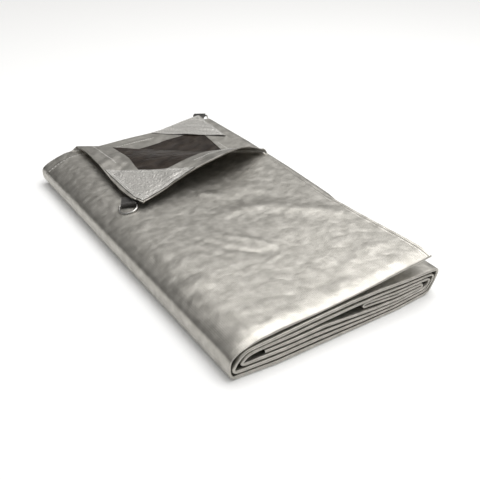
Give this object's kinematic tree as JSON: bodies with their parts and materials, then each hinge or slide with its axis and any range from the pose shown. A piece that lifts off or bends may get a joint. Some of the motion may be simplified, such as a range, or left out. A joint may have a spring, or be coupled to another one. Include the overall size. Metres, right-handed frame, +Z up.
{
  "type": "folded tarp",
  "caption": "Coated sheet folded in half and wound into a flat packet, its top corner turned back to show the dark inside, a corner patch and a ring on webbing",
  "frame": {"origin": "middle of the bounding box, on the surface that the packet lies on", "axes": "+X across the packet toward the open side, +Y along it toward the corner that is turned back, +Z up"},
  "size_m": [0.3498, 0.6532, 0.0908],
  "materials": {
    "coated_cloth": "silver-grey coated woven sheet, satin, with a dark brown inner face",
    "patch_cloth": "silver-grey coated cloth, finely crinkled",
    "webbing": "dark woven strap, matt",
    "ring_metal": "bright plated wire"
  },
  "bodies": {
    "root": {"tarp": "coated_cloth", "patch_front": "patch_cloth", "patch_back": "patch_cloth", "webbing_front": "webbing", "webbing_back": "webbing", "ring_front": "ring_metal", "ring_back": "ring_metal"}
  },
  "joints": []
}
